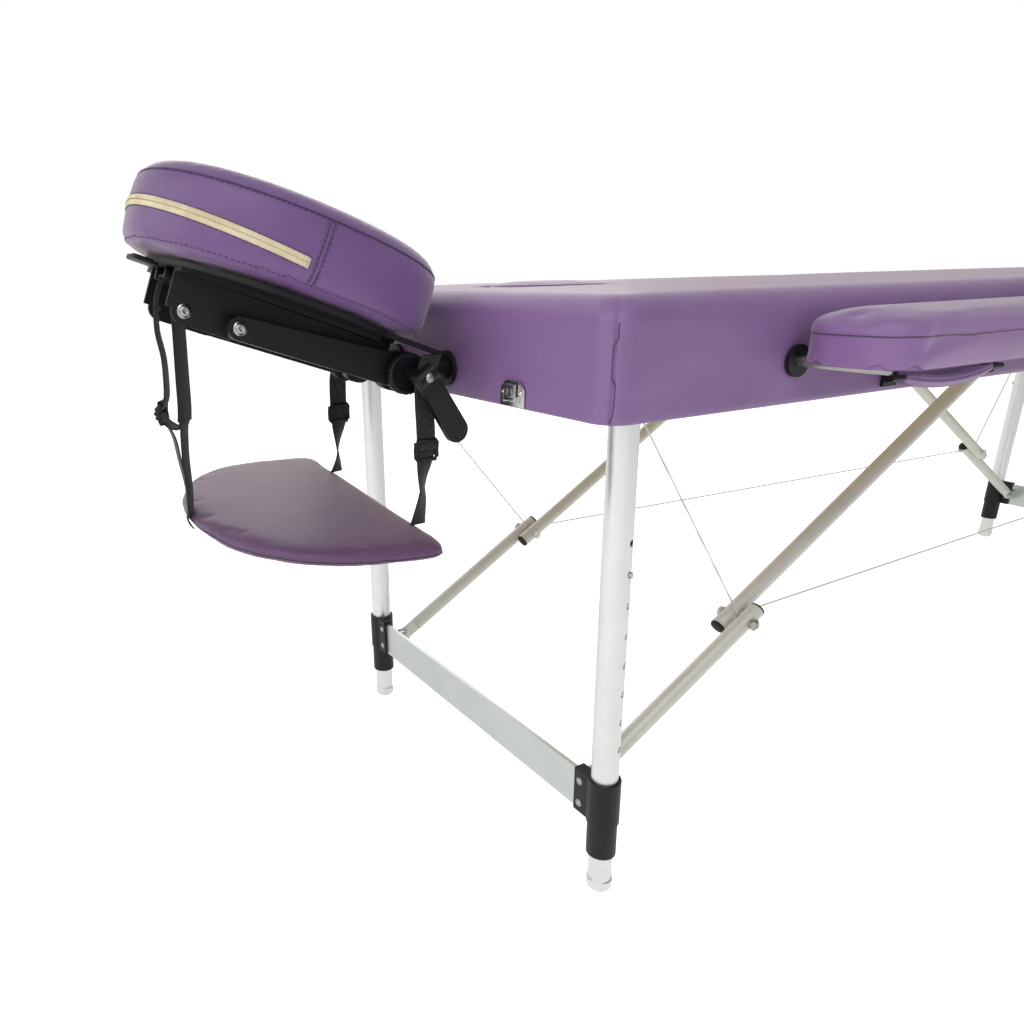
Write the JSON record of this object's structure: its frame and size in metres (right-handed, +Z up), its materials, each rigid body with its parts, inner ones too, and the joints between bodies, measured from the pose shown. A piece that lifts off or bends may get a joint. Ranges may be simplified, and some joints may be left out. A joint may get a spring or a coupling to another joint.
{
  "type": "folding massage table",
  "caption": "Two-section upholstered folding table on height-adjustable braced legs, with tilting head cradle, hanging arm sling and slide-out side armrests.",
  "frame": {"origin": "On the floor under the middle of the whole table with its head cradle, at the centre of the bounding box footprint.", "axes": "+X runs along the table from the head cradle to the foot end, +Y to the far long side (the carry handles are on the -Y side), +Z up."},
  "size_m": [2.1701, 0.824, 0.7618],
  "materials": {
    "cushion_cover": "satin",
    "head_pad_cover": "satin",
    "plywood": "satin",
    "steel_hardware": "satin",
    "black_nylon": "satin",
    "latch_chrome": "polished",
    "stay_cable": "satin",
    "leg_aluminium": "satin",
    "brace_aluminium": "satin",
    "webbing": "matte"
  },
  "bodies": {
    "head_half": {"head_cushion": "cushion_cover", "head_deck": "plywood", "head_rails": "plywood", "head_brackets": "steel_hardware", "socket_grommets": "black_nylon", "head_hinge_leaves": "steel_hardware", "hinge_pins": "steel_hardware", "latch_plates": "latch_chrome", "cable_near": "stay_cable", "cable_far": "stay_cable", "head_handle_tabs": "black_nylon"},
    "foot_half": {"foot_cushion": "cushion_cover", "foot_deck": "plywood", "foot_rails": "plywood", "foot_brackets": "steel_hardware", "foot_hinge_leaves": "steel_hardware", "latch_keepers": "latch_chrome", "foot_handle_tabs": "black_nylon"},
    "face_plug": {"face_plug": "cushion_cover"},
    "head_handle": {"head_handle": "cushion_cover"},
    "foot_handle": {"foot_handle": "cushion_cover"},
    "latch_hook_near": {"latch_hook_near": "latch_chrome"},
    "latch_hook_far": {"latch_hook_far": "latch_chrome"},
    "head_leg_frame": {"head_outer_legs": "leg_aluminium", "head_crossbar": "leg_aluminium", "head_corner_brackets": "black_nylon", "head_collars": "black_nylon"},
    "foot_leg_frame": {"foot_outer_legs": "leg_aluminium", "foot_crossbar": "leg_aluminium", "foot_corner_brackets": "black_nylon", "foot_collars": "black_nylon"},
    "inner_leg_head_near": {"inner_leg_head_near": "leg_aluminium"},
    "inner_leg_head_far": {"inner_leg_head_far": "leg_aluminium"},
    "inner_leg_foot_near": {"inner_leg_foot_near": "leg_aluminium"},
    "inner_leg_foot_far": {"inner_leg_foot_far": "leg_aluminium"},
    "snap_button_head_near": {"snap_button_head_near": "steel_hardware"},
    "snap_button_head_far": {"snap_button_head_far": "steel_hardware"},
    "snap_button_foot_near": {"snap_button_foot_near": "steel_hardware"},
    "snap_button_foot_far": {"snap_button_foot_far": "steel_hardware"},
    "head_lower_braces": {"head_lower_braces": "brace_aluminium", "head_knee_bolts": "steel_hardware"},
    "head_upper_braces": {"head_upper_braces": "brace_aluminium"},
    "foot_lower_braces": {"foot_lower_braces": "brace_aluminium", "foot_knee_bolts": "steel_hardware"},
    "foot_upper_braces": {"foot_upper_braces": "brace_aluminium"},
    "cradle": {"cradle_dowels": "black_nylon"},
    "cradle_arms": {"cradle_arms": "black_nylon"},
    "cradle_platform": {"cradle_platform": "black_nylon", "cradle_bolts": "steel_hardware", "head_pad": "head_pad_cover"},
    "cam_lever": {"cam_lever": "black_nylon"},
    "arm_sling": {"sling_pad": "cushion_cover", "sling_straps": "webbing", "sling_buckles": "black_nylon"},
    "armrest_near": {"armrest_near_pad": "cushion_cover", "armrest_near_board": "plywood", "armrest_near_rods": "black_nylon"},
    "armrest_far": {"armrest_far_pad": "cushion_cover", "armrest_far_board": "plywood", "armrest_far_rods": "black_nylon"}
  },
  "joints": [
    {"name": "table_fold", "type": "hinge", "parent": "head_half", "child": "foot_half", "pos_m": [0.15559, 0, 0.5305], "axis": [0, 1, 0], "range_deg": [0, 180], "deforming": ["cable_near", "cable_far"]},
    {"name": "head_leg_fold", "type": "hinge", "parent": "head_half", "child": "head_leg_frame", "pos_m": [-0.70441, 0, 0.554], "axis": [0, -1, 0], "range_deg": [0, 88.3]},
    {"name": "foot_leg_fold", "type": "hinge", "parent": "foot_half", "child": "foot_leg_frame", "pos_m": [1.01559, 0, 0.554], "axis": [0, 1, 0], "range_deg": [0, 88.3]},
    {"name": "head_upper_brace_fold", "type": "hinge", "parent": "head_half", "child": "head_upper_braces", "pos_m": [0.08559, 0, 0.572], "axis": [0, 1, 0], "range_deg": [0, 30.96]},
    {"name": "foot_upper_brace_fold", "type": "hinge", "parent": "foot_half", "child": "foot_upper_braces", "pos_m": [0.22559, 0, 0.572], "axis": [0, -1, 0], "range_deg": [0, 30.96]},
    {"name": "head_lower_brace_fold", "type": "hinge", "parent": "head_leg_frame", "child": "head_lower_braces", "pos_m": [-0.67342, 0, 0.11673], "axis": [0, -1, 0], "range_deg": [0, 60.74]},
    {"name": "foot_lower_brace_fold", "type": "hinge", "parent": "foot_leg_frame", "child": "foot_lower_braces", "pos_m": [0.9846, 0, 0.11673], "axis": [0, 1, 0], "range_deg": [0, 60.74]},
    {"name": "head_leg_near_extend", "type": "slide", "parent": "head_leg_frame", "child": "inner_leg_head_near", "axis": [0.0297, 0, -0.9996], "range_m": [0, 0.1956], "deforming": ["snap_button_head_near"]},
    {"name": "head_button_near_press", "type": "slide", "parent": "inner_leg_head_near", "child": "snap_button_head_near", "axis": [-0.3744, 0.9272, -0.0111], "range_m": [0, 0.0035], "stiffness_N_per_m": 900, "springref_m": -0.001},
    {"name": "head_leg_far_extend", "type": "slide", "parent": "head_leg_frame", "child": "inner_leg_head_far", "axis": [0.0297, 0, -0.9996], "range_m": [0, 0.1956], "deforming": ["snap_button_head_far"]},
    {"name": "head_button_far_press", "type": "slide", "parent": "inner_leg_head_far", "child": "snap_button_head_far", "axis": [-0.3744, -0.9272, -0.0111], "range_m": [0, 0.0035], "stiffness_N_per_m": 900, "springref_m": -0.001},
    {"name": "foot_leg_near_extend", "type": "slide", "parent": "foot_leg_frame", "child": "inner_leg_foot_near", "axis": [-0.0297, 0, -0.9996], "range_m": [0, 0.1956], "deforming": ["snap_button_foot_near"]},
    {"name": "foot_button_near_press", "type": "slide", "parent": "inner_leg_foot_near", "child": "snap_button_foot_near", "axis": [0.3744, 0.9272, -0.0111], "range_m": [0, 0.0035], "stiffness_N_per_m": 900, "springref_m": -0.001},
    {"name": "foot_leg_far_extend", "type": "slide", "parent": "foot_leg_frame", "child": "inner_leg_foot_far", "axis": [-0.0297, 0, -0.9996], "range_m": [0, 0.1956], "deforming": ["snap_button_foot_far"]},
    {"name": "foot_button_far_press", "type": "slide", "parent": "inner_leg_foot_far", "child": "snap_button_foot_far", "axis": [0.3744, -0.9272, -0.0111], "range_m": [0, 0.0035], "stiffness_N_per_m": 900, "springref_m": -0.001},
    {"name": "cradle_slide", "type": "slide", "parent": "head_half", "child": "cradle", "axis": [-1, 0, 0], "range_m": [0, 0.1]},
    {"name": "cradle_arm_tilt", "type": "hinge", "parent": "cradle", "child": "cradle_arms", "pos_m": [-0.82941, 0, 0.562], "axis": [0, 1, 0], "range_deg": [-30, 0]},
    {"name": "cradle_platform_tilt", "type": "hinge", "parent": "cradle_arms", "child": "cradle_platform", "pos_m": [-1.00059, 0, 0.61433], "axis": [0, 1, 0], "range_deg": [-15, 0]},
    {"name": "cam_lever_swing", "type": "hinge", "parent": "cradle", "child": "cam_lever", "pos_m": [-0.82941, -0.1077, 0.562], "axis": [0, 1, 0], "range_deg": [0, 50]},
    {"name": "sling_swing", "type": "hinge", "parent": "cradle_platform", "child": "arm_sling", "pos_m": [-0.92502, 0, 0.616], "axis": [0, -1, 0], "range_deg": [-10, 10], "deforming": ["sling_straps"]},
    {"name": "armrest_near_slide", "type": "slide", "parent": "head_half", "child": "armrest_near", "axis": [0, -1, 0], "range_m": [0, 0.055]},
    {"name": "armrest_far_slide", "type": "slide", "parent": "head_half", "child": "armrest_far", "axis": [0, 1, 0], "range_m": [0, 0.055]},
    {"name": "head_handle_swing", "type": "hinge", "parent": "head_half", "child": "head_handle", "pos_m": [-0.30441, -0.3093, 0.548], "axis": [-1, 0, 0], "range_deg": [0, 100]},
    {"name": "foot_handle_swing", "type": "hinge", "parent": "foot_half", "child": "foot_handle", "pos_m": [0.61559, -0.3093, 0.548], "axis": [-1, 0, 0], "range_deg": [0, 100]},
    {"name": "face_plug_lift", "type": "slide", "parent": "head_half", "child": "face_plug", "axis": [0, 0, 1], "range_m": [0, 0.06]},
    {"name": "latch_hook_near_swing", "type": "hinge", "parent": "head_half", "child": "latch_hook_near", "pos_m": [-0.77331, -0.17, 0.543], "axis": [0, -1, 0], "range_deg": [0, 170]},
    {"name": "latch_hook_far_swing", "type": "hinge", "parent": "head_half", "child": "latch_hook_far", "pos_m": [-0.77331, 0.17, 0.543], "axis": [0, -1, 0], "range_deg": [0, 170]}
  ],
  "couplings": [
    {"joint": "head_leg_fold", "follows": "table_fold", "ratio": 0.49056},
    {"joint": "foot_leg_fold", "follows": "table_fold", "ratio": 0.49056},
    {"joint": "head_upper_brace_fold", "follows": "table_fold", "ratio": 0.17198},
    {"joint": "foot_upper_brace_fold", "follows": "table_fold", "ratio": 0.17198},
    {"joint": "head_lower_brace_fold", "follows": "table_fold", "ratio": 0.33747},
    {"joint": "foot_lower_brace_fold", "follows": "table_fold", "ratio": 0.33747}
  ]
}
